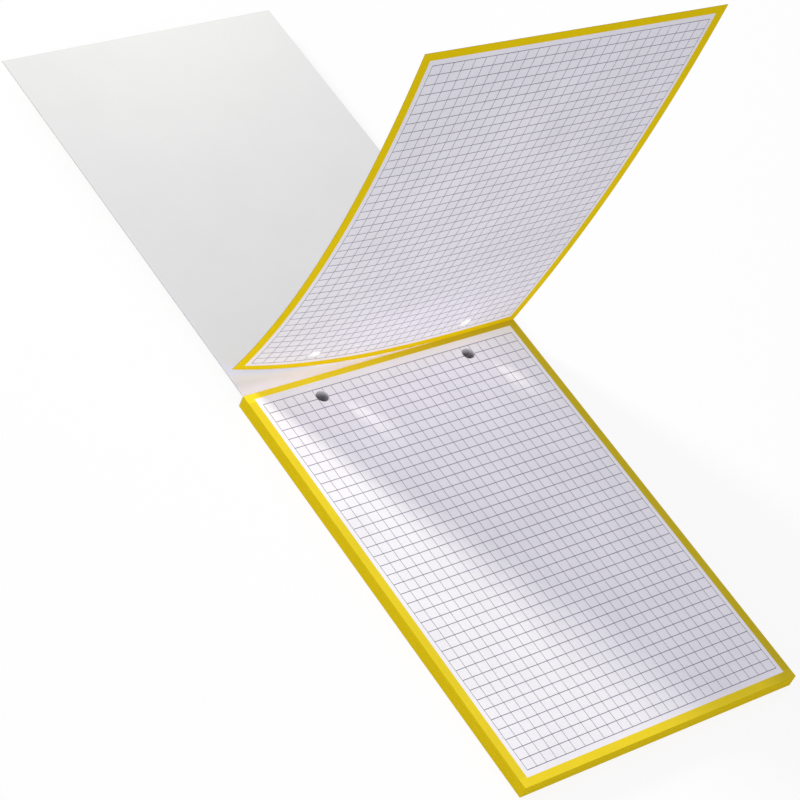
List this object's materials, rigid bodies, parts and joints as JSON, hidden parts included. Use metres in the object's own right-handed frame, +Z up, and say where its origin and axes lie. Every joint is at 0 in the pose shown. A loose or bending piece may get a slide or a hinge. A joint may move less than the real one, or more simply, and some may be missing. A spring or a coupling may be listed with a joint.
{
  "type": "index card pad",
  "caption": "Pad of squared, punched index cards glued at the head, with a raised top card and a plain cover turned back over the head.",
  "frame": {"origin": "centre of the card block's underside, on the surface that the pad lies on", "axes": "+Z up out of the pad's face, +Y along the cards towards the glued head and the open cover, +X across the cards to the right"},
  "size_m": [0.148, 0.4204, 0.2148],
  "materials": {
    "cards": "uncoated card with a yellow frame that bleeds to the edges",
    "glue": "dried padding glue",
    "raised_card": "uncoated card with squared ruling and a yellow frame",
    "cover": "smooth white cover board"
  },
  "bodies": {
    "root": {"card_block": "cards", "head_glue": "glue", "raised_card": "raised_card", "cover": "cover"}
  },
  "joints": []
}
